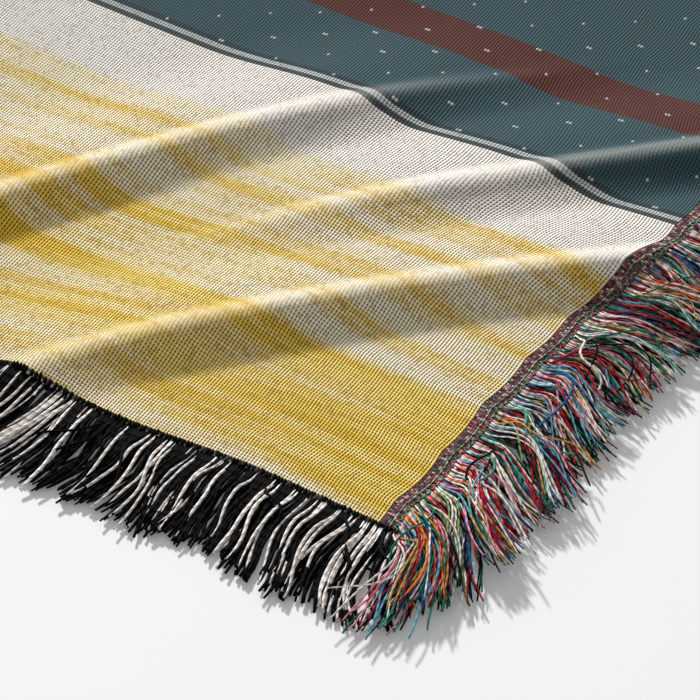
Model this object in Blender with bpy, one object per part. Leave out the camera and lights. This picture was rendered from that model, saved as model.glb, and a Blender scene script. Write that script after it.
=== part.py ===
# Tapestry throw blanket, laid out flat on the floor with soft ridges running across it.
#
# A jacquard-woven cotton panel. Its warp yarns run along X and leave the two short ends
# as a many-coloured fringe, past a narrow plain-woven heading. Its weft yarns run along Y
# and leave the two long sides as a black and ecru fringe, past a row of yarn turns.
# Metres, +Z up, the origin on the floor under the middle of the throw.

import math
import random
from collections import namedtuple

import bmesh
import bpy
from mathutils import Vector

# Driving dimensions
PANEL_LENGTH = 1.520  # along X, 60 inches
PANEL_WIDTH = 1.270  # along Y, 50 inches
CLOTH_THICKNESS = 0.002
HEADING_WIDTH = 0.0065
TURNS_WIDTH = 0.003
SEAM_GAP = 0.0005  # between the panel and what its edges carry

WARP_FRINGE_LENGTH = 0.040
WEFT_FRINGE_LENGTH = 0.043
WARP_LOCKS = 66  # in one heading
WEFT_LOCKS = 80  # in one long side
LOCK_SHARE = 0.72  # of the pitch from lock to lock, and the rest is open
LOCK_THICKNESS = 0.0045
LOCK_TIP_THICKNESS = 0.0025
LOCK_TIP_NARROWING = 0.55
LENGTH_SCATTER = 0.16  # share of a lock's length
LEAN_SCATTER = 6.0  # degrees

HALF_X = PANEL_LENGTH / 2
HALF_Y = PANEL_WIDTH / 2

# The panel's cells are small near the rippled corner at +X, -Y and grow away from it
FINE_CELL = 0.011
FINE_CELLS = 27
CELL_GROWTH = 1.15
COARSE_CELL = 0.042

# Ridges in the cloth. x and y are a point on the crest, heading its direction there in
# degrees from +X, and bend its curvature in 1/m, to the right. start and end are distances
# along the crest, over which the ridge rises and falls. near and far are the half widths
# on the crest's right and on its left.
Fold = namedtuple("Fold", "x y heading bend start end rise fall height near far")
FOLDS = (
    Fold(0.612, -0.506, 53.8, 1.05, -0.24, 0.16, 0.08, 0.14, 0.0085, 0.020, 0.028),
    Fold(0.700, -0.481, 45.6, 0.3, -0.13, 0.24, 0.12, 0.08, 0.0085, 0.020, 0.028),
    Fold(0.700, -0.547, 45.3, 1.1, -0.20, 0.20, 0.14, 0.04, 0.0082, 0.020, 0.028),
    Fold(0.400, -0.360, 52.0, 0.8, -0.32, 0.36, 0.16, 0.20, 0.0100, 0.048, 0.044),
    Fold(0.200, -0.050, 58.0, 0.5, -0.42, 0.40, 0.20, 0.20, 0.0120, 0.060, 0.056),
    Fold(-0.120, 0.100, 47.0, -0.4, -0.46, 0.40, 0.20, 0.22, 0.0110, 0.062, 0.066),
    Fold(-0.480, 0.220, 38.0, 0.6, -0.34, 0.34, 0.18, 0.18, 0.0120, 0.060, 0.060),
    Fold(0.520, 0.300, 66.0, 0.5, -0.26, 0.30, 0.14, 0.16, 0.0100, 0.056, 0.056),
    Fold(-0.300, -0.380, 24.0, -0.6, -0.34, 0.32, 0.16, 0.18, 0.0110, 0.060, 0.058),
    Fold(-0.620, -0.150, 62.0, 0.8, -0.28, 0.26, 0.14, 0.14, 0.0090, 0.056, 0.056),
)

# How far the edges wander from straight. at is the place along the edge, reach the half
# length of the wave, and shift its height, outwards.
Wave = namedtuple("Wave", "edge at reach shift")
WAVES = (
    Wave("right", -0.580, 0.070, -0.0025),
    Wave("right", -0.460, 0.070, 0.008),
    Wave("right", -0.080, 0.250, -0.005),
    Wave("right", 0.350, 0.260, 0.004),
    Wave("front", 0.655, 0.065, 0.0045),
    Wave("front", 0.585, 0.065, 0.010),
    Wave("front", 0.220, 0.280, -0.005),
    Wave("front", -0.380, 0.300, 0.006),
    Wave("left", -0.300, 0.300, 0.005),
    Wave("left", 0.260, 0.300, -0.006),
    Wave("back", 0.320, 0.340, 0.005),
    Wave("back", -0.350, 0.340, -0.006),
)
WAVE_DEPTH = 0.14  # how far in from the edge a wave has died away

# An edge of the throw: along and out are its directions, half its half length, offset the
# panel's half size across it, and width that of the strip that it carries. The locks lean
# along the edge by lean degrees, and by low and high more towards its two ends.
Edge = namedtuple("Edge", "name along out half offset width locks length lean low high")
EDGES = (
    Edge("right", (0, 1), (1, 0), HALF_Y, HALF_X, HEADING_WIDTH,
         WARP_LOCKS, WARP_FRINGE_LENGTH, -6, -85, 70),
    Edge("left", (0, 1), (-1, 0), HALF_Y, HALF_X, HEADING_WIDTH,
         WARP_LOCKS, WARP_FRINGE_LENGTH, 5, -70, 70),
    Edge("front", (1, 0), (0, -1), HALF_X, HALF_Y, TURNS_WIDTH,
         WEFT_LOCKS, WEFT_FRINGE_LENGTH, -7, -25, 32),
    Edge("back", (1, 0), (0, 1), HALF_X, HALF_Y, TURNS_WIDTH,
         WEFT_LOCKS, WEFT_FRINGE_LENGTH, 6, -25, 25),
)
FAN_REACH = 0.028  # how far from an end its locks still fan out

CLOTH_COLOUR = (0.80, 0.62, 0.25)
WARP_COLOUR = (0.26, 0.16, 0.15)
WEFT_COLOUR = (0.09, 0.085, 0.08)


def clamp(value, low=0.0, high=1.0):
    return max(low, min(high, value))


def ease(share):
    """A smooth step from 0 to 1."""
    share = clamp(share)
    return share * share * (3 - 2 * share)


def bump(share):
    """1 at 0, falling smoothly to 0 at -1 and 1."""
    return 0.5 + 0.5 * math.cos(math.pi * clamp(share, -1, 1))


def fold_height(fold, x, y):
    heading = math.radians(fold.heading)
    dx, dy = x - fold.x, y - fold.y
    along = dx * math.cos(heading) + dy * math.sin(heading)
    across = dy * math.cos(heading) - dx * math.sin(heading) + fold.bend * along * along / 2
    half_width = fold.far if across > 0 else fold.near
    ends = ease((along - fold.start) / fold.rise) * ease((fold.end - along) / fold.fall)
    return fold.height * ends * bump(across / half_width)


def cloth_height(x, y):
    """Height of the cloth's underside over the floor."""
    return sum(fold_height(fold, x, y) for fold in FOLDS)


def edge_shift(name, place):
    return sum(w.shift * bump((place - w.at) / w.reach) for w in WAVES if w.edge == name)


def waved(x, y):
    """Where a point of the straight-edged panel lies once its edges wander."""
    def share(distance):
        return ease(1 - distance / WAVE_DEPTH)

    shifted_x = (x + edge_shift("right", y) * share(HALF_X - x)
                 - edge_shift("left", y) * share(HALF_X + x))
    shifted_y = (y + edge_shift("back", x) * share(HALF_Y - y)
                 - edge_shift("front", x) * share(HALF_Y + y))
    return shifted_x, shifted_y


def graded_lines(length):
    """Distances from the rippled corner to each line of the panel's grid, the last at length."""
    cells = [FINE_CELL] * FINE_CELLS
    while sum(cells) < length:
        cells.append(min(cells[-1] * CELL_GROWTH, COARSE_CELL))
    spare = length / sum(cells)
    lines = [0.0]
    for cell in cells:
        lines.append(lines[-1] + cell * spare)
    return lines


def material(name, colour, roughness):
    made = bpy.data.materials.new(name)
    made.use_nodes = True
    shader = made.node_tree.nodes["Principled BSDF"]
    shader.inputs["Base Color"].default_value = (*colour, 1)
    shader.inputs["Roughness"].default_value = roughness
    return made


def object_from(bm, name, finish, collection):
    bmesh.ops.recalc_face_normals(bm, faces=bm.faces)
    mesh = bpy.data.meshes.new(name)
    bm.to_mesh(mesh)
    bm.free()
    mesh.materials.append(finish)
    made = bpy.data.objects.new(name, mesh)
    collection.objects.link(made)
    return made


def slab_from_grid(bm, columns, rows, place, thickness):
    """A grid of columns by rows cells, each point moved by place, raised into a closed slab."""
    bmesh.ops.create_grid(bm, x_segments=columns, y_segments=rows, size=0.5)
    for vert in bm.verts:
        column = round((vert.co.x + 0.5) * columns)
        row = round((vert.co.y + 0.5) * rows)
        vert.co = place(column, row)
    raised = bmesh.ops.extrude_face_region(bm, geom=bm.faces[:], use_keep_orig=True)
    top = [item for item in raised["geom"] if isinstance(item, bmesh.types.BMVert)]
    bmesh.ops.translate(bm, verts=top, vec=(0, 0, thickness))


def make_cloth(finish, collection):
    """The woven panel, one sheet that lies on the floor between its ridges."""
    from_right = graded_lines(2 * HALF_X)
    from_front = graded_lines(2 * HALF_Y)

    def place(column, row):
        x, y = waved(HALF_X - from_right[-1 - column], from_front[row] - HALF_Y)
        return Vector((x, y, cloth_height(x, y)))

    bm = bmesh.new()
    slab_from_grid(bm, len(from_right) - 1, len(from_front) - 1, place, CLOTH_THICKNESS)
    # Each cell is split along the ridges, which run from lower left to upper right
    bmesh.ops.triangulate(bm, faces=bm.faces, quad_method="FIXED")
    return object_from(bm, "cloth", finish, collection)


def edge_point(edge, place, outwards):
    """A point on the floor, place along an edge and outwards from the panel."""
    along, out = Vector(edge.along), Vector(edge.out)
    reach = edge.offset + outwards + edge_shift(edge.name, place)
    return along * place + out * reach


def lock_lean(edge, place, dice):
    """How far a lock turns towards its edge's direction, in radians."""
    low_end = math.exp(-(edge.half + place) / FAN_REACH)
    high_end = math.exp(-(edge.half - place) / FAN_REACH)
    lean = edge.lean + edge.low * low_end + edge.high * high_end
    return math.radians(lean + dice.uniform(-LEAN_SCATTER, LEAN_SCATTER))


def set_ring(face, along, centre, side, thickness):
    """Moves a lock's end face to a centre on the floor, a half width along side, a thickness."""
    corners = sorted(face.verts, key=lambda vert: vert.co.xy.dot(along))
    for spot, pair in ((centre - side, corners[:2]), (centre + side, corners[2:])):
        low, high = sorted(pair, key=lambda vert: vert.co.z)
        low.co = (spot.x, spot.y, 0)
        high.co = (spot.x, spot.y, thickness)


def grow_lock(bm, face, edge, place, half_width, dice):
    """Draws one lock out of its root face, down to the floor and along it."""
    along, out = Vector(edge.along), Vector(edge.out)
    lean = lock_lean(edge, place, dice)
    length = edge.length * (1 - dice.uniform(0, LENGTH_SCATTER))
    spot = edge_point(edge, place, SEAM_GAP + edge.width)
    # Each step's share of the length, of the lean and of the root's width, and its thickness
    steps = ((0.5, 0.85, 1.0, LOCK_THICKNESS),
             (0.5, 1.1, LOCK_TIP_NARROWING, LOCK_TIP_THICKNESS))
    for share, turn, width, thickness in steps:
        face = bmesh.ops.extrude_discrete_faces(bm, faces=[face])["faces"][0]
        cosine, sine = math.cos(lean * turn), math.sin(lean * turn)
        spot = spot + (out * cosine + along * sine) * (length * share)
        side = (along * cosine - out * sine) * (half_width * width)
        set_ring(face, along, spot, side, thickness)


def make_fringe(edge, name, finish, collection):
    """A narrow strip along an edge with its locks drawn out of it, in one piece."""
    dice = random.Random(name)
    pitch = 2 * edge.half / edge.locks
    lock, opening = pitch * LOCK_SHARE, pitch * (1 - LOCK_SHARE)
    # The strip's cells are openings and locks by turns, with half an opening at each end
    lines = [-edge.half]
    for _ in range(edge.locks):
        start = lines[-1] + (opening / 2 if len(lines) == 1 else opening)
        lines += [start, start + lock]
    lines.append(edge.half)

    def place(column, row):
        spot = edge_point(edge, lines[column], SEAM_GAP + edge.width * row)
        return Vector((spot.x, spot.y, cloth_height(spot.x, spot.y)))

    bm = bmesh.new()
    slab_from_grid(bm, len(lines) - 1, 1, place, CLOTH_THICKNESS)
    along, out = Vector(edge.along), Vector(edge.out)
    bmesh.ops.recalc_face_normals(bm, faces=bm.faces)
    outer_faces = [f for f in bm.faces if f.normal.xy.dot(out) > 0.9]
    outer_faces.sort(key=lambda f: f.calc_center_median().xy.dot(along))
    for index, face in enumerate(outer_faces[1::2]):
        middle = (lines[2 * index + 1] + lines[2 * index + 2]) / 2
        grow_lock(bm, face, edge, middle, lock / 2, dice)
    return object_from(bm, name, finish, collection)


def clear_scene():
    for old in list(bpy.data.objects):
        bpy.data.objects.remove(old, do_unlink=True)


def main():
    clear_scene()
    throw = bpy.data.collections.new("tapestry_throw_blanket")
    bpy.context.scene.collection.children.link(throw)
    woven = material("woven_cotton", CLOTH_COLOUR, 0.9)
    warp = material("warp_yarn", WARP_COLOUR, 0.9)
    weft = material("weft_yarn", WEFT_COLOUR, 0.9)
    make_cloth(woven, throw)
    right, left, front, back = EDGES
    make_fringe(right, "warp_fringe_right", warp, throw)
    make_fringe(left, "warp_fringe_left", warp, throw)
    make_fringe(front, "weft_fringe_front", weft, throw)
    make_fringe(back, "weft_fringe_back", weft, throw)


main()
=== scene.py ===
"""The tapestry throw blanket's looks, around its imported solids. Metres, +Z up."""

import math
from collections import namedtuple

import bpy
import numpy as np
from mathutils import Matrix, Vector


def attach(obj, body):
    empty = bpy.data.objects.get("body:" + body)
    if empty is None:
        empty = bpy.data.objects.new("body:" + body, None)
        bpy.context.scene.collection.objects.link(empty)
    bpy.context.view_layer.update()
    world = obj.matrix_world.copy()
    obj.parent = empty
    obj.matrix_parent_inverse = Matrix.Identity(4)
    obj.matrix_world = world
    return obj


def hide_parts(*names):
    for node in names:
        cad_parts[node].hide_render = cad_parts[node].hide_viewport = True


bl_info = {
    "name": "Tapestry Throw Blanket",
    "version": (1, 0, 0),
    "blender": (4, 5, 0),
    "location": "View3D > Sidebar > Throw",
    "description": "Weaves the cloth, the headings and the fringes of a throw over its solids",
    "category": "Object",
}

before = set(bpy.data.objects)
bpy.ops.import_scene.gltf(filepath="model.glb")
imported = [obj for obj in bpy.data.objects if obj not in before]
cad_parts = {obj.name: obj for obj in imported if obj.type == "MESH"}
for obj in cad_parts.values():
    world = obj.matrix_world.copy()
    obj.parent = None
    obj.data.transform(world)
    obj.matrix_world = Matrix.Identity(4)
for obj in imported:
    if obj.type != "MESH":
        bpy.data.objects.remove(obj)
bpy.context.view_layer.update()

BODY = "root"  # the part's one body

# The panel and what its edges carry, as in the part
HALF_X = 0.760
HALF_Y = 0.635
CLOTH_THICKNESS = 0.002
HEADING_WIDTH = 0.0065
TURNS_WIDTH = 0.003
SEAM_GAP = 0.0002  # between the panel's edge and the heading

# Ridges in the cloth, within a few millimetres of the part's: a point on the crest, its
# heading in degrees from +X, its curvature, where it starts and ends along the crest, how it
# rises and falls at its ends, and its height and half widths on its near and far side. lip is
# the height of the fine crease along the crest.
Fold = namedtuple("Fold", "x y heading bend start end rise fall height near far lip")
FOLDS = (
    Fold(0.6145, -0.5075, 53.8, 1.05, -0.24, 0.16, 0.08, 0.14, 0.0070, 0.020, 0.052, 0.0018),
    Fold(0.7025, -0.4835, 45.6, 0.3, -0.13, 0.24, 0.12, 0.08, 0.0070, 0.020, 0.052, 0.0018),
    Fold(0.7022, -0.5492, 45.3, 1.1, -0.20, 0.20, 0.14, 0.04, 0.0070, 0.020, 0.052, 0.0018),
    Fold(0.400, -0.360, 52.0, 0.8, -0.32, 0.36, 0.16, 0.20, 0.0100, 0.048, 0.044, 0.0),
    Fold(0.200, -0.050, 58.0, 0.5, -0.42, 0.40, 0.20, 0.20, 0.0120, 0.060, 0.056, 0.0),
    Fold(-0.120, 0.100, 47.0, -0.4, -0.46, 0.40, 0.20, 0.22, 0.0110, 0.062, 0.066, 0.0),
    Fold(-0.480, 0.220, 38.0, 0.6, -0.34, 0.34, 0.18, 0.18, 0.0120, 0.060, 0.060, 0.0),
    Fold(0.520, 0.300, 66.0, 0.5, -0.26, 0.30, 0.14, 0.16, 0.0100, 0.056, 0.056, 0.0),
    Fold(-0.300, -0.380, 24.0, -0.6, -0.34, 0.32, 0.16, 0.18, 0.0110, 0.060, 0.058, 0.0),
    Fold(-0.620, -0.150, 62.0, 0.8, -0.28, 0.26, 0.14, 0.14, 0.0090, 0.056, 0.056, 0.0),
)
LIP_REACH = 0.0068  # half width of the fine crease

# How far the edges wander from straight, within a few millimetres of the part's
Wave = namedtuple("Wave", "edge at reach shift")
WAVES = (
    Wave("right", -0.640, 0.045, -0.0035),
    Wave("right", -0.580, 0.070, -0.0025),
    Wave("right", -0.478, 0.024, 0.0018),
    Wave("right", -0.460, 0.070, 0.0105),
    Wave("right", -0.080, 0.250, -0.005),
    Wave("right", 0.350, 0.260, 0.004),
    Wave("front", 0.655, 0.065, 0.0045),
    Wave("front", 0.585, 0.065, 0.010),
    Wave("front", 0.220, 0.280, -0.005),
    Wave("front", -0.380, 0.300, 0.006),
    Wave("left", -0.300, 0.300, 0.005),
    Wave("left", 0.260, 0.300, -0.006),
    Wave("back", 0.320, 0.340, 0.005),
    Wave("back", -0.350, 0.340, -0.006),
)
WAVE_DEPTH = 0.14  # how far into the panel the cloth follows its edge
# The short ends also draw in a little between one bunch of warp yarns and the next
SCALLOP_WIDTH = 0.026
SCALLOP_DEPTH = 0.0013
SCALLOP_LEVEL = 0.6  # the share of a scallop that leaves the edge where it was

# An edge: its directions along and outwards, its half length, the panel's half size across
# it, the width of what it carries, and how its yarns lean along it, in the middle and
# towards its two ends, in degrees. seen is the stretch with the finest yarns.
Edge = namedtuple("Edge", "name along out half offset width lean low high seen")
EDGES = {
    "right": Edge("right", (0, 1), (1, 0), HALF_Y, HALF_X, HEADING_WIDTH, -10, -64, 60,
                  (-HALF_Y, -0.36)),
    "left": Edge("left", (0, 1), (-1, 0), HALF_Y, HALF_X, HEADING_WIDTH, 5, -60, 60, None),
    "front": Edge("front", (1, 0), (0, -1), HALF_X, HALF_Y, TURNS_WIDTH, -6, -16, 25,
                  (0.53, HALF_X)),
    "back": Edge("back", (1, 0), (0, 1), HALF_X, HALF_Y, TURNS_WIDTH, 6, -25, 25, None),
}
FAN_REACH = 0.026  # how far from a corner the yarns fan out
LONG_REACH = 0.15  # how far from the two front corners the warp yarns are longer
LONG_SHARE = 0.32  # how much longer they are at those corners

# Yarn colours as seen, with how often each comes
WARP_YARNS = (
    ((150, 24, 48), 0.125), ((186, 48, 62), 0.04), ((212, 146, 156), 0.055),
    ((226, 220, 212), 0.135), ((24, 108, 90), 0.155), ((84, 156, 142), 0.065),
    ((30, 92, 140), 0.09), ((100, 160, 186), 0.04), ((212, 100, 54), 0.035),
    ((194, 150, 88), 0.035), ((132, 156, 98), 0.02), ((14, 14, 20), 0.19),
    ((60, 28, 34), 0.045),
)
WEFT_YARNS = (((8, 7, 10), 0.855), ((238, 230, 224), 0.145))
LINE_STITCHES = (((150, 196, 164), 0.7), ((210, 214, 196), 0.3))
CHAIN_STITCHES = (((76, 142, 114), 0.38), ((134, 174, 148), 0.26), ((204, 128, 92), 0.18),
                  ((176, 88, 100), 0.18))
TURNS = (((14, 13, 16), 0.93), ((90, 84, 82), 0.07))
PALE_YARN = 0.3  # the brightness from which a yarn counts as pale

# How the yarns of a fringe lie: the least and greatest width of their locks, how high they
# pile up, how far their tips rise, how unruly they are, in degrees, and how far the fringe
# runs past the ends of its edge
Lay = namedtuple("Lay", "lock_width pile lift wild past")
WARP_LAY = Lay((0.005, 0.010), 0.0064, 0.0062, 15, 0.0015)
WEFT_LAY = Lay((0.0035, 0.0075), 0.0040, 0.0012, 9, HEADING_WIDTH)

# For each degree of unruliness: how much the lean of locks and of single yarns varies, in
# degrees, how far a lock swings, in radians, and how far the phase of its swing drifts from
# lock to lock
LOCK_LEAN = 0.45
YARN_LEAN = 0.30
LOCK_SWING = (0.018, 0.030)
PHASE_DRIFT = 0.009
# How far a yarn swings by itself, in radians, and how closely a lock draws together: the
# least, and the most for each degree of unruliness
OWN_SWING = (0.05, 0.020)
LOCK_DRAW = (0.06, 0.045)
# Odd yarns stray: how many do for each degree, how far they lean and swing, in radians, and
# their layer in the pile
STRAY_CHANCE = 0.0018
STRAY_LEAN = 0.35
STRAY_SWING = 0.75
STRAY_LAYER = 1.1
# How much the yarns differ in length, by themselves and from lock to lock
LENGTH_SPREAD = 0.045
LOCK_LENGTHS = (0.92, 1.06)
TIP_SPREAD = 0.0011  # how far their tips spread sideways

# The yarns of the seen stretch and of the rest: how many of them there are and how thick,
# against the settings, and the points along one and the sides round it
Make = namedtuple("Make", "density thickness points sides")
SEEN_MAKE = Make(1.0, 1.0, 15, 4)
REST_MAKE = Make(0.50, 1.5, 7, 3)

# A row of stitches on a heading: how far out it runs, the step from stitch to stitch, a
# stitch's length, its slant in radians, its radius and its colours
Stitching = namedtuple("Stitching", "name out spacing length slant radius tones")
STITCHINGS = (
    Stitching("stitch_line", 0.0036, 0.0023, 0.0023, 0.08, 0.00026, LINE_STITCHES),
    Stitching("stitch_chain", 0.0056, 0.0012, 0.0018, 0.75, 0.00036, CHAIN_STITCHES),
)

# A turn of weft yarn over the cloth's edge: points outwards from the edge, their height over
# the cloth's underside and the yarn's radius there
TURN_PITCH = 0.0015
TURN_OUTS = (-0.0002, 0.0006, 0.0015, 0.0024, 0.0034)
TURN_LEVELS = (0.0014, 0.0022, 0.0020, 0.0012, 0.0007)
TURN_RADII = (0.0004, 0.0008, 0.00085, 0.0008, 0.0006)

# The heading's weave: its ribs and the picks across them, and its colours as seen
HEADING_RIB = 0.00078
HEADING_PICK = 0.00095
HEADING_TONES = (
    (0.00, (76, 112, 96)),
    (0.15, (58, 40, 44)),
    (0.31, (124, 62, 71)),
    (0.46, (164, 134, 130)),
    (0.57, (80, 50, 54)),
    (0.70, (138, 70, 79)),
    (0.83, (198, 182, 172)),
)
HEADING_FURROW = (34, 22, 25)
HEADING_CELLS = (0.003, 0.010)  # the mesh's cells along it, in the seen stretch and elsewhere
YARN_TWIST = 0.0034  # from one ply to the next along a yarn

FINE_REACH = 0.25  # how far from the rippled corner the cloth's mesh is finest
CELL_GROWTH = 1.08  # from one cell to the next past there
SMOOTH_ANGLE = math.radians(50)

# The stage. The camera stands where the throw's corner, edges and ridges look as they do in
# the photo.
FLOOR_SIZE = 30
KEY_TURN = math.radians(47.3)  # from +Y towards -X
KEY_HEIGHT = math.radians(27)
CAMERA_PLACE = (1.1905788, -1.33836068, 0.86044322)
CAMERA_AIM = (0.70607192, -0.57194659, 0.0)
CAMERA_LENS = 195.43
CAMERA_SENSOR = 36


def linear(colour):
    """A colour as seen, 0 to 255, as the linear values that shaders take."""
    scaled = np.asarray(colour, float) / 255
    return np.where(scaled <= 0.04045, scaled / 12.92, ((scaled + 0.055) / 1.055) ** 2.4)


def ease(share):
    """A smooth step from 0 to 1."""
    share = np.clip(share, 0, 1)
    return share * share * (3 - 2 * share)


def bump(share):
    """1 at 0, falling smoothly to 0 at -1 and 1."""
    return 0.5 + 0.5 * np.cos(np.pi * np.clip(share, -1, 1))


def fold_height(fold, x, y):
    """How far one ridge lifts the cloth at a point."""
    heading = math.radians(fold.heading)
    dx, dy = x - fold.x, y - fold.y
    along = dx * math.cos(heading) + dy * math.sin(heading)
    across = dy * math.cos(heading) - dx * math.sin(heading) + fold.bend * along * along / 2
    ends = ease((along - fold.start) / fold.rise) * ease((fold.end - along) / fold.fall)
    body = bump(across / np.where(across > 0, fold.far, fold.near))
    return ends * (fold.height * body + fold.lip * bump(across / LIP_REACH))


def crest_share(x, y):
    """1 along a sharp crest, which gets a painted highlight and flatter ribs, 0 away from it."""
    share = 0.0
    for fold in FOLDS:
        if fold.lip > 0:
            share = np.maximum(share, fold_height(fold._replace(height=0.0, lip=1.0), x, y))
    return share


def cloth_height(x, y):
    """Height of the cloth's underside over the floor."""
    return sum(fold_height(fold, x, y) for fold in FOLDS)


def cloth_top(x, y, depth=CLOTH_THICKNESS):
    """Height over the floor of a point that is depth above the cloth's underside."""
    step = 0.0005
    slope_x = (cloth_height(x + step, y) - cloth_height(x - step, y)) / (2 * step)
    slope_y = (cloth_height(x, y + step) - cloth_height(x, y - step)) / (2 * step)
    return cloth_height(x, y) + depth * np.sqrt(1 + slope_x ** 2 + slope_y ** 2)


def edge_shift(name, place):
    """How far out an edge lies at a place along it."""
    place = np.asarray(place, float)
    shift = np.zeros_like(place)
    for wave in WAVES:
        if wave.edge == name:
            shift += wave.shift * bump((place - wave.at) / wave.reach)
    if name in ("right", "left"):
        shift += SCALLOP_DEPTH * (np.abs(np.sin(np.pi * place / SCALLOP_WIDTH))
                                  - SCALLOP_LEVEL)
    return shift


def waved(x, y):
    """Where a point of the straight-edged panel lies once its edges wander."""
    def share(distance):
        return ease(1 - distance / WAVE_DEPTH)

    shifted_x = (x + edge_shift("right", y) * share(HALF_X - x)
                 - edge_shift("left", y) * share(HALF_X + x))
    shifted_y = (y + edge_shift("back", x) * share(HALF_Y - y)
                 - edge_shift("front", x) * share(HALF_Y + y))
    return shifted_x, shifted_y


def edge_point(edge, place, outwards):
    """x and y of points, place along an edge and outwards from the panel."""
    reach = edge.offset + outwards + edge_shift(edge.name, place)
    return (edge.along[0] * place + edge.out[0] * reach,
            edge.along[1] * place + edge.out[1] * reach)


class Socket:
    """A shader socket that takes part in Python arithmetic, through Math nodes."""

    def __init__(self, shader, socket):
        self.shader = shader
        self.socket = socket

    def maths(self, operation, *values):
        """A Math node on these values."""
        return self.shader.node("ShaderNodeMath", {"operation": operation}, *values)

    def __add__(self, other):
        return self.maths("ADD", self, other)

    def __radd__(self, other):
        return self.maths("ADD", other, self)

    def __sub__(self, other):
        return self.maths("SUBTRACT", self, other)

    def __rsub__(self, other):
        return self.maths("SUBTRACT", other, self)

    def __mul__(self, other):
        return self.maths("MULTIPLY", self, other)

    def __rmul__(self, other):
        return self.maths("MULTIPLY", other, self)

    def __truediv__(self, other):
        return self.maths("DIVIDE", self, other)

    def __pow__(self, other):
        return self.maths("POWER", self, other)

    def __abs__(self):
        return self.maths("ABSOLUTE", self)

    def floor(self):
        return self.maths("FLOOR", self)

    def sine(self):
        return self.maths("SINE", self)

    def above(self, limit):
        """1 where this is over the limit, else 0."""
        return self.maths("GREATER_THAN", self, limit)

    def step(self, low, high):
        """0 below low, 1 above high, and smooth between them."""
        return self.shader.node("ShaderNodeMapRange", {"interpolation_type": "SMOOTHSTEP"},
                                self, low, high, 0.0, 1.0)


class Shader:
    """One material's nodes."""

    def __init__(self, name, **finish):
        self.material = bpy.data.materials.new(name)
        self.material.use_nodes = True
        self.tree = self.material.node_tree
        self.surface = self.tree.nodes["Principled BSDF"]
        for socket, value in finish.items():
            self.surface.inputs[socket.replace("_", " ")].default_value = value

    def fill(self, socket, value):
        """Links a socket to the value, or sets it."""
        if isinstance(value, Socket):
            self.tree.links.new(value.socket, socket)
        elif socket.type == "RGBA":
            socket.default_value = (*value, 1)
        else:
            socket.default_value = value

    def node(self, kind, settings=None, *values, output=0, **named):
        """Adds a node with its settings, then its socket values by order or by name."""
        made = self.tree.nodes.new(kind)
        for name, value in (settings or {}).items():
            setattr(made, name, value)
        for socket, value in zip(made.inputs, values):
            self.fill(socket, value)
        for name, value in named.items():
            self.fill(made.inputs[name.replace("_", " ")], value)
        return Socket(self, made.outputs[output])

    def mix(self, share, first, second):
        """Goes from the first colour to the second by share."""
        made = self.tree.nodes.new("ShaderNodeMix")
        made.data_type = "RGBA"
        for index, value in ((0, share), (6, first), (7, second)):
            self.fill(made.inputs[index], value)
        return Socket(self, made.outputs[2])

    def ramp(self, place, stops):
        """A colour from stops of (place, colour), each held up to the next."""
        made = self.tree.nodes.new("ShaderNodeValToRGB")
        made.color_ramp.interpolation = "CONSTANT"
        marks = made.color_ramp.elements
        while len(marks) < len(stops):
            marks.new(1)
        for mark, (where, colour) in zip(marks, stops):
            mark.position = where
            mark.color = (*colour, 1)
        self.fill(made.inputs[0], place)
        return Socket(self, made.outputs[0])

    def finish(self, colour, relief=None, depth=0.0, strength=1.0):
        """The finished material, with its colour and the relief of its surface."""
        self.fill(self.surface.inputs["Base Color"], colour)
        if relief is not None:
            normal = self.node("ShaderNodeBump", None, Distance=depth, Strength=strength,
                               Height=relief)
            self.fill(self.surface.inputs["Normal"], normal)
        return self.material

    def map_uv(self):
        """The two coordinates of the piece's own map, in metres."""
        along = self.node("ShaderNodeUVMap", {"uv_map": "UVMap"})
        return (self.node("ShaderNodeSeparateXYZ", None, along, output=0),
                self.node("ShaderNodeSeparateXYZ", None, along, output=1))

    def spot(self, x, y):
        """A flat vector for a texture."""
        return self.node("ShaderNodeCombineXYZ", None, x, y, 0.0)

    def noise(self, x, y, detail):
        """A soft random share, one swell to each step of x and y."""
        return self.node("ShaderNodeTexNoise", None, Vector=self.spot(x, y), Scale=1.0,
                         Detail=detail)

    def chance(self, x, y):
        """A random share, the same all over each whole step of x and y."""
        return self.node("ShaderNodeTexWhiteNoise", {"noise_dimensions": "2D"},
                         Vector=self.spot(x, y))


# The cloth's design, from a long side to the middle of the throw, and mirrored beyond it:
# where each band starts, in metres from the side, and its plain colour
BANDS = (
    (0.000, (231, 220, 192)),
    (0.132, (230, 223, 214)),
    (0.166, (62, 72, 76)),
    (0.1675, (170, 178, 176)),
    (0.1700, (44, 60, 66)),
    (0.1725, (52, 82, 90)),
    (0.206, (88, 42, 34)),
    (0.228, (52, 82, 90)),
    (0.330, (44, 60, 66)),
    (0.3325, (170, 178, 176)),
    (0.335, (230, 223, 214)),
    (0.360, (231, 220, 192)),
    (0.480, (230, 223, 214)),
    (0.500, (88, 42, 34)),
    (0.516, (230, 223, 214)),
    (0.536, (52, 82, 90)),
)
GOLD_BANDS = ((0.000, 0.132), (0.360, 0.480))
# The dark bands, which carry the dashes: the outer one, and where the middle one starts
DARK_BAND = (0.1725, 0.330)
DARK_MIDDLE = 0.536
GOLD = (229, 199, 102)
DEEP_GOLD = (219, 179, 58)
# Furrow points: partly dark threads between the stitches, partly painted shade in the gaps
FURROW = (20, 16, 12)
DASH = (200, 205, 200)
GROUND_THREAD = (96, 80, 62)

# Noise in the gold: how fine it is along the warp and across it, to the metre, where its
# pattern starts, and its detail
Streaks = namedtuple("Streaks", "along across start_along start_across detail")
LONG_STREAKS = Streaks(4.5, 85, 0, 0, 1.5)
SHORT_STREAKS = Streaks(13, 240, 7, 0, 1.0)
PATCHES = Streaks(3.0, 15, 3, 5, 1.0)

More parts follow.
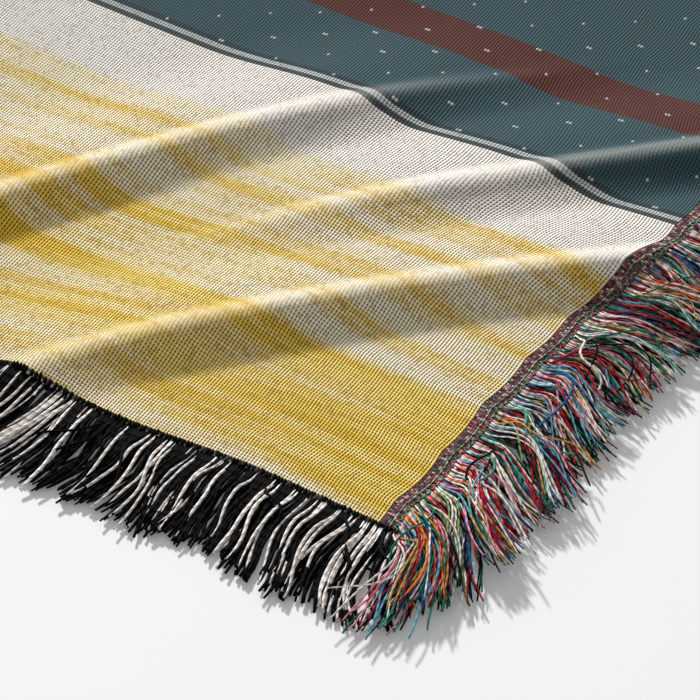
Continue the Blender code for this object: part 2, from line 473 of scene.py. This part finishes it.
# Dashes: rows to the metre, dashes to the metre of a row, the shift from row to row, the
# share of the step where a dash starts, and its half width as a share of the row
DASH_ROWS = 90
DASH_STEPS = 42
DASH_SHIFT = 0.37
DASH_START = 0.93
DASH_HALF = 0.06


class ClothSettings(bpy.types.PropertyGroup):
    """The weave, the mesh and the gold of the cloth"""

    rib_pitch: bpy.props.FloatProperty(
        name="Rib pitch", description="From one woven rib to the next, along the warp",
        default=0.00115, unit="LENGTH", precision=5)
    cell_pitch: bpy.props.FloatProperty(
        name="Stitch pitch", description="From one woven stitch to the next, along a rib",
        default=0.00125, unit="LENGTH", precision=5)
    fine_cell: bpy.props.FloatProperty(
        name="Fine cell", description="The mesh's cell beside the rippled corner",
        default=0.0025, unit="LENGTH", precision=4)
    coarse_cell: bpy.props.FloatProperty(
        name="Coarse cell", description="The mesh's cell away from the rippled corner",
        default=0.014, unit="LENGTH", precision=4)
    gold: bpy.props.FloatVectorProperty(
        name="Gold", description="Colour of the streaks in the gold bands",
        default=tuple(linear(GOLD)), subtype="COLOR", size=3, min=0, max=1)
    deep_gold: bpy.props.FloatVectorProperty(
        name="Deep gold", description="Darker colour within the gold streaks",
        default=tuple(linear(DEEP_GOLD)), subtype="COLOR", size=3, min=0, max=1)
    # The furrow points are partly dark threads and partly painted shade in the gaps
    furrow: bpy.props.FloatVectorProperty(
        name="Furrow", description="Colour of the dark points between the stitches",
        default=tuple(linear(FURROW)), subtype="COLOR", size=3, min=0, max=1)


class FringeSettings(bpy.types.PropertyGroup):
    """The yarns of the fringes"""

    warp_length: bpy.props.FloatProperty(
        name="Warp length", description="Length of the many-coloured yarns past the heading",
        default=0.0365, unit="LENGTH")
    weft_length: bpy.props.FloatProperty(
        name="Weft length", description="Length of the black and ecru yarns",
        default=0.0390, unit="LENGTH")
    warp_radius: bpy.props.FloatProperty(
        name="Warp yarn radius", description="Half the thickness of a many-coloured yarn",
        default=0.00038, unit="LENGTH", precision=5)
    weft_radius: bpy.props.FloatProperty(
        name="Weft yarn radius", description="Half the thickness of a black or ecru yarn",
        default=0.00058, unit="LENGTH", precision=5)
    warp_count: bpy.props.FloatProperty(
        name="Warp yarns", description="Many-coloured yarns in a metre of the seen stretch",
        default=5200, min=100)
    weft_count: bpy.props.FloatProperty(
        name="Weft yarns", description="Black and ecru yarns in a metre of the seen stretch",
        default=3300, min=100)


class StageSettings(bpy.types.PropertyGroup):
    """The lights and the floor"""

    key_power: bpy.props.FloatProperty(
        name="Key light", description="Strength of the light from behind the throw",
        default=5.0, min=0)
    key_softness: bpy.props.FloatProperty(
        name="Key softness", description="Spread of the key light",
        default=math.radians(4.5), subtype="ANGLE")
    fill_power: bpy.props.FloatProperty(
        name="Fill light", description="Strength of the even light all round",
        default=0.50, min=0)
    floor_glow: bpy.props.FloatProperty(
        name="Floor glow", description="Light of the floor's own, which softens its shadows",
        default=0.12, min=0)
    floor_colour: bpy.props.FloatVectorProperty(
        name="Floor", description="Colour of the floor",
        default=(0.58, 0.58, 0.585), subtype="COLOR", size=3, min=0, max=1)


def deselect():
    """Leaves no object selected."""
    for each in bpy.context.selected_objects:
        each.select_set(False)


def settle(piece, material, slot, *nodes):
    """Gives a finished piece its material and body, hides the solids it stands for; slot is not
    used.
    """
    piece.data.materials.clear()
    piece.data.materials.append(material)
    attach(piece, BODY)
    if nodes:
        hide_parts(*nodes)


def woven_sheet(name, us, vs, place, thickness):
    """A closed sheet over a grid of lines us by vs, mapped by them and laid out by place."""
    deselect()
    bpy.ops.mesh.primitive_grid_add(x_subdivisions=len(us) - 1, y_subdivisions=len(vs) - 1,
                                    size=1, calc_uvs=True)
    piece = bpy.context.object
    piece.name = piece.data.name = name
    mesh = piece.data
    points = np.empty(len(mesh.vertices) * 3)
    mesh.vertices.foreach_get("co", points)
    points = points.reshape(-1, 3)
    columns = np.rint((points[:, 0] + 0.5) * (len(us) - 1)).astype(int)
    rows = np.rint((points[:, 1] + 0.5) * (len(vs) - 1)).astype(int)
    u, v = np.asarray(us)[columns], np.asarray(vs)[rows]
    mesh.vertices.foreach_set("co", np.stack(place(u, v), 1).ravel())
    corners = np.empty(len(mesh.loops), int)
    mesh.loops.foreach_get("vertex_index", corners)
    mesh.uv_layers[0].name = "UVMap"
    mesh.uv_layers[0].uv.foreach_set("vector", np.stack((u, v), 1)[corners].ravel())
    mesh.update()
    solid = piece.modifiers.new("Solidify", "SOLIDIFY")
    solid.thickness = thickness
    solid.offset = 1
    bpy.ops.object.modifier_apply(modifier=solid.name)
    bpy.ops.object.shade_smooth_by_angle(angle=SMOOTH_ANGLE)
    return piece


def graded_lines(length, fine, coarse):
    """Distances from the rippled corner to each line of a grid that grows away from it."""
    cells = [fine] * round(FINE_REACH / fine)
    while sum(cells) < length:
        cells.append(min(cells[-1] * CELL_GROWTH, coarse))
    lines = np.concatenate(([0.0], np.cumsum(cells)))
    return lines * (length / lines[-1])


def cloth_material(settings):
    """The jacquard weave: ribs of stitches, each stitch in one colour of the design."""
    shader = Shader("jacquard_cotton", Roughness=0.92, Specular_IOR_Level=0.2,
                    Sheen_Weight=0.12, Sheen_Roughness=0.30)
    u, v = shader.map_uv()
    across, along = u / settings.rib_pitch, v / settings.cell_pitch
    rib, stitch = across.floor(), along.floor()
    crown = ((across - rib) * math.pi).sine()
    swell = ((along - stitch) * math.pi).sine()
    point = ((1 - crown) ** 1.5 * (1 - swell) ** 0.6).step(0.05, 0.36)
    # Along a sharp crest the ribs flatten and a highlight is painted into the colour
    crest_highlight = shader.node("ShaderNodeAttribute", {"attribute_name": "tightness"}, output=2)
    relief = crown ** 0.7 * (0.72 + 0.28 * swell) * (1 - crest_highlight * 0.8)
    # Where each stitch lies in the design
    x = rib * settings.rib_pitch
    side = HALF_Y - abs(stitch * settings.cell_pitch)
    stops = [(start / HALF_Y, tuple(linear(colour))) for start, colour in BANDS]
    luck = shader.chance(rib, stitch)
    plain = shader.ramp(side / HALF_Y, stops)

    def streaks(kind):
        return shader.noise(x * kind.along + kind.start_along,
                            side * kind.across + kind.start_across, kind.detail)

    long_streak, short_streak, patch = map(streaks, (LONG_STREAKS, SHORT_STREAKS, PATCHES))
    # Gold is worked where the streaks are strong, and less of it away from the side
    worked = (long_streak * 0.60 + short_streak * 0.22 + patch * 0.55
              + (luck - 0.5) * 0.06 - side * 0.15)
    gold = shader.mix(short_streak.step(0.40, 0.62), tuple(settings.gold),
                      tuple(settings.deep_gold))
    inside = 0
    for start, end in GOLD_BANDS:
        inside = inside + side.above(start - 0.001) * (1 - side.above(end))
    colour = shader.mix(inside * worked.step(0.56, 0.80), plain, gold)
    # Small cream dashes at even steps in the dark bands
    dash_row = (side * DASH_ROWS).floor()
    dash_place = x * DASH_STEPS + dash_row * DASH_SHIFT
    off_row = abs(side * DASH_ROWS - dash_row - 0.5)
    dash = ((dash_place - dash_place.floor()).above(DASH_START)
            * (DASH_HALF - off_row).above(0))
    dark = (side.above(DARK_BAND[0]) * (1 - side.above(DARK_BAND[1]))
            + side.above(DARK_MIDDLE))
    colour = shader.mix(dash * dark * 0.6, colour, tuple(linear(DASH)))
    # Odd threads of the ground show through here and there
    colour = shader.mix(luck.above(0.90) * 0.18, colour, tuple(linear(GROUND_THREAD)))
    # Stitches differ a little, get a painted highlight on a sharp crest, and are dark in the
    # furrows
    colour = shader.mix(luck * 0.12, colour, (0.03, 0.025, 0.02))
    # Painted highlight: paler stitches along a sharp crest
    colour = shader.mix(crest_highlight ** 2 * 0.22, colour, (0.93, 0.88, 0.78))
    # Dark furrow points, partly dark threads and partly painted shade, fading under the painted
    # highlight
    colour = shader.mix(point * 0.96 * (1 - crest_highlight * 0.85), colour, tuple(settings.furrow))
    return shader.finish(colour, relief, 0.0006, 0.7)


class THROW_OT_cloth(bpy.types.Operator):
    """Lays out the woven panel over its ridges"""

    bl_idname = "throw.cloth"
    bl_label = "Cloth"

    def execute(self, context):
        settings = context.scene.throw_cloth
        from_right = graded_lines(2 * HALF_X, settings.fine_cell, settings.coarse_cell)
        from_front = graded_lines(2 * HALF_Y, settings.fine_cell, settings.coarse_cell)

        def place(u, v):
            x, y = waved(u, v)
            return x, y, cloth_height(x, y)

        piece = woven_sheet("cloth_sheet", HALF_X - from_right[::-1], from_front - HALF_Y,
                            place, CLOTH_THICKNESS)
        points = np.empty(len(piece.data.vertices) * 3)
        piece.data.vertices.foreach_get("co", points)
        points = points.reshape(-1, 3)
        # Where the cloth gets a painted highlight and flatter ribs, along the sharp crests
        crest_highlight = piece.data.attributes.new("tightness", "FLOAT", "POINT")
        crest_highlight.data.foreach_set("value", crest_share(points[:, 0], points[:, 1]))
        settle(piece, cloth_material(settings), "cloth", "cloth")
        return {"FINISHED"}


def heading_material():
    """The heading: the warp's own colours in fine ribs that run outwards, tightly woven."""
    shader = Shader("woven_heading", Roughness=0.92, Specular_IOR_Level=0.2)
    out, along = shader.map_uv()
    rib, pick = along / HEADING_RIB, out / HEADING_PICK
    rib_step, pick_step = rib.floor(), pick.floor()
    crown = ((rib - rib_step) * math.pi).sine()
    swell = ((pick - pick_step) * math.pi).sine()
    tone = shader.chance(rib_step, pick_step) * 0.82 + shader.chance(rib_step, 3.0) * 0.18
    colour = shader.ramp(tone, [(where, tuple(linear(each))) for where, each in HEADING_TONES])
    gap = ((1 - crown) * 1.1 + (1 - swell) * 0.3).step(0.1, 1.0)
    colour = shader.mix(gap * 0.70, colour, tuple(linear(HEADING_FURROW)))
    return shader.finish(colour, crown * 0.5 + swell * 0.5, 0.0005, 0.8)


def edge_lines(edge, fine, coarse):
    """Places along an edge, close together in its seen stretch."""
    places = [-edge.half]
    while places[-1] < edge.half:
        seen = edge.seen and edge.seen[0] - 0.01 <= places[-1] <= edge.seen[1]
        places.append(places[-1] + (fine if seen else coarse))
    places = np.array(places)
    return -edge.half + (places + edge.half) * (2 * edge.half / (places[-1] + edge.half))


def stitch_row(row, edge, material, slot):
    """A row of short stitches along an edge, each slanting the other way from its neighbours."""
    name = f"{row.name}_{edge.name}"
    dice = np.random.default_rng([len(name), 5])
    count = round(2 * edge.half / row.spacing)
    places = -edge.half + (np.arange(count)[:, None] + 0.5) * 2 * edge.half / count
    ways = np.where(np.arange(count) % 2, 1, -1)[:, None] * row.slant
    along = np.array([-0.5, 0.0, 0.5])[None, :] * row.length
    x, y = edge_point(edge, places + along * np.cos(ways), row.out + along * np.sin(ways))
    arch = np.array([-0.2, 0.5, -0.2])[None, :] * row.radius
    z = cloth_top(x, y) + arch
    picked = pick_colours(dice, row.tones, count, 1.0)
    radii = np.broadcast_to(row.radius * np.array([0.6, 1.0, 0.6]), (count, 3))
    settle(tubes(name, np.stack((x, y, z), -1), radii, picked), material, slot)


class THROW_OT_headings(bpy.types.Operator):
    """Weaves the headings of the two short ends, with their lines of green stitches"""

    bl_idname = "throw.headings"
    bl_label = "Headings"

    def execute(self, context):
        material = heading_material()
        thread = yarn_material("stitch_thread", 0.85)
        for name in ("right", "left"):
            edge = EDGES[name]

            def place(out, along, edge=edge):
                x, y = edge_point(edge, along, out + SEAM_GAP)
                return x, y, cloth_height(x, y)

            outs = np.linspace(0, HEADING_WIDTH, 4)
            alongs = edge_lines(edge, *HEADING_CELLS)
            if name == "left":
                alongs = alongs[::-1]  # so that its faces point outwards too
            piece = woven_sheet(f"heading_{name}", outs, alongs, place, CLOTH_THICKNESS * 0.9)
            settle(piece, material, "warp_fringe", f"warp_fringe_{name}")
            for row in STITCHINGS:
                stitch_row(row, edge, thread, "warp_fringe")
        return {"FINISHED"}


def yarn_material(name, roughness):
    """Twisted cotton yarn in the colour that each yarn carries."""
    shader = Shader(name, Roughness=roughness, Specular_IOR_Level=0.06)
    along, turn = shader.map_uv()
    colour = shader.node("ShaderNodeAttribute", {"attribute_name": "yarn_colour"})
    ply = abs(((along / YARN_TWIST + turn) * math.pi).sine())
    # Painted shade in the grooves between the twisted plies
    shade = shader.mix((1 - ply) ** 2 * 0.55, colour, (0.0, 0.0, 0.0))
    return shader.finish(shade, ply, 0.0003, 0.5)


def tubes(name, paths, radii, colours, sides=3):
    """One mesh of closed tubes: paths is yarns by points by 3, radii yarns by points."""
    count, points = paths.shape[:2]
    ahead = np.gradient(paths, axis=1)
    ahead /= np.maximum(np.linalg.norm(ahead, axis=2, keepdims=True), 1e-9)
    across = np.cross(ahead, (0.0, 0.0, 1.0))
    across /= np.maximum(np.linalg.norm(across, axis=2, keepdims=True), 1e-9)
    up = np.cross(across, ahead)
    angles = np.arange(sides) * 2 * math.pi / sides + math.pi / 2
    ring = (across[:, :, None] * np.cos(angles)[:, None]
            + up[:, :, None] * np.sin(angles)[:, None])
    verts = (paths[:, :, None] + ring * radii[:, :, None, None]).reshape(-1, 3)
    first = np.arange(count)[:, None, None] * points * sides
    step = np.arange(points - 1)[None, :, None] * sides
    side = np.arange(sides)[None, None, :]
    after = (side + 1) % sides
    low, high = first + step + side, first + step + after
    walls = np.stack((low, high, high + sides, low + sides), -1).reshape(-1, 4)
    start = (np.arange(count) * points * sides)[:, None] + np.arange(sides)[::-1]
    end = (np.arange(count) * points * sides + (points - 1) * sides)[:, None] + np.arange(sides)
    mesh = bpy.data.meshes.new(name)
    mesh.from_pydata(verts.tolist(), [], walls.tolist() + start.tolist() + end.tolist())
    length = np.linalg.norm(np.diff(paths, axis=1), axis=2).cumsum(1)
    length = np.concatenate((np.zeros((count, 1)), length), 1)
    turn = (side + np.zeros_like(low)) / sides
    u0 = np.broadcast_to(length[:, :-1, None], low.shape)
    u1 = np.broadcast_to(length[:, 1:, None], low.shape)
    wall_uv = np.stack((np.stack((u0, u0, u1, u1), -1),
                        np.stack((turn, turn + 1 / sides, turn + 1 / sides, turn), -1)), -1)
    cap_uv = np.zeros((2 * count * sides, 2))
    layer = mesh.uv_layers.new(name="UVMap")
    layer.uv.foreach_set("vector", np.concatenate((wall_uv.reshape(-1, 2), cap_uv)).ravel())
    paint = mesh.attributes.new("yarn_colour", "FLOAT_COLOR", "POINT")
    shown = np.ones((count, points * sides, 4))
    shown[:, :, :3] = colours[:, None, :]
    paint.data.foreach_set("color", shown.ravel())
    mesh.shade_smooth()
    piece = bpy.data.objects.new(name, mesh)
    bpy.context.scene.collection.objects.link(piece)
    return piece


def pick_colours(dice, yarns, count, mixed):
    """A colour for each yarn, unlike its neighbour's, a little lighter or darker each time."""
    shares = np.cumsum([share for _, share in yarns])
    tones = np.array([linear(colour) for colour, _ in yarns])
    turn = (np.arange(count) * 0.618 + mixed * dice.random(count)) % 1
    picked = np.searchsorted(shares / shares[-1], turn)
    return tones[picked] * dice.uniform(0.80, 1.10, (count, 1))


def lay_yarns(edge, span, colours, length, radius, points, lay, dice):
    """Paths of the yarns of a stretch of an edge, gathered in locks and laid on the floor."""
    count = len(colours)
    wild = lay.wild
    places = np.sort(dice.uniform(span[0], span[1], count))
    # The locks that neighbouring yarns gather in
    ends = [span[0]]
    while ends[-1] < span[1]:
        ends.append(ends[-1] + dice.uniform(*lay.lock_width))
    ends = np.array(ends)
    lock = np.clip(np.searchsorted(ends, places) - 1, 0, len(ends) - 2)
    middle = (ends[lock] + ends[lock + 1]) / 2
    locks = len(ends)

    def of_lock(low, high):
        return dice.uniform(low, high, locks)[lock]

    def of_neighbours(spread):
        return np.cumsum(dice.normal(0, spread, locks))[lock]

    # Which way each yarn heads, in radians from straight outwards: its lean, the swing that it
    # shares with its lock, and its own
    low_end = np.exp(-(edge.half + places) / FAN_REACH)
    high_end = np.exp(-(edge.half - places) / FAN_REACH)
    lean = edge.lean + edge.low * low_end + edge.high * high_end
    lean = np.radians(lean + of_lock(-LOCK_LEAN, LOCK_LEAN) * wild
                      + dice.normal(0, YARN_LEAN * wild, count))
    stray = dice.random(count) < STRAY_CHANCE * wild
    lean += np.where(stray, dice.normal(0, STRAY_LEAN, count), 0)
    t = np.linspace(0, 1, points)[None, :]
    swing = ((of_lock(*LOCK_SWING) * wild * (1 - 0.7 * low_end))[:, None]
             * np.sin(2 * np.pi * (of_lock(0.5, 0.8)[:, None] * t
                                   + of_neighbours(PHASE_DRIFT * wild)[:, None])))
    own_low, own_wild = OWN_SWING
    own = (np.where(stray, STRAY_SWING, dice.uniform(own_low, own_wild * wild, count))[:, None]
           * np.sin(2 * np.pi * (dice.uniform(0.6, 1.5, count)[:, None] * t
                                 + dice.random(count)[:, None])))
    heading = lean[:, None] * (0.55 + 0.6 * ease(t * 2)) + (swing + own) * ease(t * 3)
    near_corner = ease(1 - (edge.half + places) / LONG_REACH)
    grown = 1 + LONG_SHARE * near_corner if lay is WARP_LAY else 1.0
    lengths = (length * grown * (1 + dice.normal(0, LENGTH_SPREAD, count))
               * of_lock(*LOCK_LENGTHS))[:, None]
    steps = lengths / (points - 1)

    def run(parts):
        """The way gone at each point of a yarn, from its share at each point."""
        sums = np.cumsum((parts[:, 1:] + parts[:, :-1]) / 2, axis=1) * steps
        return np.concatenate((np.zeros((count, 1)), sums), 1)

    # The pale yarns draw together over the dark ones, which fill the gaps
    pale = colours.max(1) > PALE_YARN
    draw_low, draw_wild = LOCK_DRAW
    drawn = of_lock(draw_low, draw_wild * wild) * (0.35 + 0.65 * pale)
    gather = 1 - drawn[:, None] * ease(t / 0.9)
    spread = dice.normal(0, TIP_SPREAD, (count, 1)) * ease((t - 0.4) / 0.6)
    aside = (places - middle)[:, None] * gather + run(np.sin(heading)) + spread
    outwards = run(np.cos(heading))
    place = middle[:, None] + aside
    reach = edge.offset + edge.width - 0.001 + edge_shift(edge.name, places)[:, None]
    x = edge.along[0] * place + edge.out[0] * (reach + outwards)
    y = edge.along[1] * place + edge.out[1] * (reach + outwards)
    # Down from the edge to the floor, and over one another in the pile
    root_x, root_y = edge_point(edge, places, edge.width)
    root = cloth_height(root_x, root_y)[:, None] + CLOTH_THICKNESS * 0.8
    layer = np.where(stray, STRAY_LAYER, dice.random(count) * 0.65 + pale * 0.35)[:, None]
    level = layer * lay.pile * (0.30 + 0.70 * bump((t - 0.35) / 0.65)) * (1 - 0.35 * t)
    level = level + radius
    raised = of_lock(0.25, 1.0)[:, None] * lay.lift * ease(t / 0.7)
    fall = ease(t * lengths / (0.010 + 1.9 * root))
    z = np.maximum(root * (1 - fall) + level * np.maximum(fall, 0.0) + raised,
                   radius * 1.02)
    z += radius * np.sin(2 * np.pi * (dice.uniform(1.2, 3.0, (count, 1)) * t
                                      + dice.random((count, 1)))) * ease(t * 2) * 0.6
    z = np.maximum(z, radius * 1.02)
    paths = np.stack((x, y, z), -1)
    radii = radius * dice.uniform(0.82, 1.12, (count, 1)) * (1 - 0.25 * ease((t - 0.85) / 0.15))
    return paths, radii


def weft_turns(name, edge):
    """The black turns of weft yarn, side by side over the cloth's cut edge."""
    dice = np.random.default_rng([len(name), 9])
    half = edge.half + HEADING_WIDTH
    count = round(2 * half / TURN_PITCH)
    places = -half + (np.arange(count)[:, None] + 0.5) * 2 * half / count
    places = places + dice.normal(0, 0.0002, (count, 1))
    shift = dice.normal(0, 0.00025, (count, 1))
    outs = np.array(TURN_OUTS)[None, :] + shift
    sway = dice.normal(0, 0.0003, (count, 1)) * np.arange(len(TURN_OUTS))[None, :] * 0.5
    x, y = edge_point(edge, places + sway, outs)
    z = cloth_top(x, y, np.array(TURN_LEVELS)[None, :]) + dice.normal(0, 0.0001, (count, 1))
    radii = np.broadcast_to(np.array(TURN_RADII), (count, len(TURN_RADII)))
    return tubes(name, np.stack((x, y, z), -1), radii, pick_colours(dice, TURNS, count, 1.0))


def make_fringe(kind, edge, yarns, lay, settings, material):
    """The yarns of one edge, as one or two pieces: the seen stretch and the rest."""
    name = f"{kind}_yarns_{edge.name}"
    length = getattr(settings, f"{kind}_length")
    radius = getattr(settings, f"{kind}_radius")
    density = getattr(settings, f"{kind}_count")
    start, end = -edge.half - lay.past, edge.half + lay.past
    stretches = [(name, (start, end), REST_MAKE)]
    if edge.seen:
        low, high = edge.seen
        if low <= -edge.half:
            seen, rest = (low - lay.past, high), (high, end)
        else:
            seen, rest = (low, high + lay.past), (start, low)
        stretches = [(name, seen, SEEN_MAKE), (f"{name}_rest", rest, REST_MAKE)]
    for title, span, make in stretches:
        dice = np.random.default_rng([len(name), int(span[0] * 1000) % 997, 11])
        count = round(density * make.density * (span[1] - span[0]))
        colours = pick_colours(dice, yarns, count, 0.4)
        paths, radii = lay_yarns(edge, span, colours, length, radius * make.thickness,
                                 make.points, lay, dice)
        piece = tubes(title, paths, radii, colours, make.sides)
        settle(piece, material, f"{kind}_fringe", f"{kind}_fringe_{edge.name}")


class THROW_OT_warp_fringe(bpy.types.Operator):
    """Lays the many-coloured warp yarns past the two headings"""

    bl_idname = "throw.warp_fringe"
    bl_label = "Warp fringe"

    def execute(self, context):
        material = yarn_material("warp_yarn", 0.85)
        for name in ("right", "left"):
            make_fringe("warp", EDGES[name], WARP_YARNS, WARP_LAY,
                        context.scene.throw_fringe, material)
        return {"FINISHED"}


class THROW_OT_weft_fringe(bpy.types.Operator):
    """Lays the black and ecru weft yarns along the two long sides"""

    bl_idname = "throw.weft_fringe"
    bl_label = "Weft fringe"

    def execute(self, context):
        material = yarn_material("weft_yarn", 0.8)
        for name in ("front", "back"):
            make_fringe("weft", EDGES[name], WEFT_YARNS, WEFT_LAY,
                        context.scene.throw_fringe, material)
            settle(weft_turns(f"weft_turns_{name}", EDGES[name]), material, "weft_fringe")
        return {"FINISHED"}


class THROW_OT_stage(bpy.types.Operator):
    """Sets out the floor, the lights and the camera"""

    bl_idname = "throw.stage"
    bl_label = "Stage"

    def execute(self, context):
        settings = context.scene.throw_stage
        scene = context.scene
        scene.view_settings.view_transform = "Standard"
        deselect()
        bpy.ops.mesh.primitive_plane_add(size=FLOOR_SIZE)
        floor = context.object
        floor.name = "studio_floor"
        shader = Shader("pale_floor", Roughness=0.7, Emission_Color=(1, 1, 1, 1),
                        Emission_Strength=settings.floor_glow)
        floor.data.materials.append(shader.finish(tuple(settings.floor_colour)))

        bpy.ops.object.light_add(type="SUN")
        key = context.object
        key.name = "key_light"
        key.data.energy = settings.key_power
        key.data.angle = settings.key_softness
        towards = Vector((-math.sin(KEY_TURN) * math.cos(KEY_HEIGHT),
                          math.cos(KEY_TURN) * math.cos(KEY_HEIGHT), math.sin(KEY_HEIGHT)))
        key.rotation_euler = towards.to_track_quat("Z", "Y").to_euler()

        world = bpy.data.worlds.new("studio")
        scene.world = world
        world.use_nodes = True
        background = world.node_tree.nodes["Background"]
        background.inputs["Color"].default_value = (1.0, 1.0, 1.0, 1)
        background.inputs["Strength"].default_value = settings.fill_power

        bpy.ops.object.camera_add(location=CAMERA_PLACE)
        camera = context.object
        camera.name = "camera"
        camera.data.lens = CAMERA_LENS
        camera.data.sensor_width = CAMERA_SENSOR
        camera.data.clip_start = 0.05
        aim = Vector(CAMERA_AIM) - camera.location
        camera.rotation_euler = aim.to_track_quat("-Z", "Y").to_euler()
        scene.camera = camera
        deselect()
        return {"FINISHED"}


OPERATORS = (THROW_OT_cloth, THROW_OT_headings, THROW_OT_warp_fringe, THROW_OT_weft_fringe,
             THROW_OT_stage)


class THROW_PT_panel(bpy.types.Panel):
    """The throw's settings and the steps that make it"""

    bl_idname = "THROW_PT_panel"
    bl_label = "Throw"
    bl_space_type = "VIEW_3D"
    bl_region_type = "UI"
    bl_category = "Throw"

    def draw(self, context):
        """Lists every setting, then a button for each step."""
        layout = self.layout
        for name in ("throw_cloth", "throw_fringe", "throw_stage"):
            group = getattr(context.scene, name)
            column = layout.column()
            for key in group.__annotations__:
                column.prop(group, key)
        for operator in OPERATORS:
            layout.operator(operator.bl_idname)


CLASSES = (ClothSettings, FringeSettings, StageSettings, *OPERATORS, THROW_PT_panel)


def register():
    """Makes the settings, the steps and the panel known to Blender."""
    for each in CLASSES:
        bpy.utils.register_class(each)
    bpy.types.Scene.throw_cloth = bpy.props.PointerProperty(type=ClothSettings)
    bpy.types.Scene.throw_fringe = bpy.props.PointerProperty(type=FringeSettings)
    bpy.types.Scene.throw_stage = bpy.props.PointerProperty(type=StageSettings)


def unregister():
    """Takes them away again."""
    del bpy.types.Scene.throw_stage
    del bpy.types.Scene.throw_fringe
    del bpy.types.Scene.throw_cloth
    for each in reversed(CLASSES):
        bpy.utils.unregister_class(each)


def main():
    """Makes the throw and its stage."""
    register()
    bpy.ops.throw.cloth()
    bpy.ops.throw.headings()
    bpy.ops.throw.warp_fringe()
    bpy.ops.throw.weft_fringe()
    bpy.ops.throw.stage()


if __name__ == "__main__":
    main()
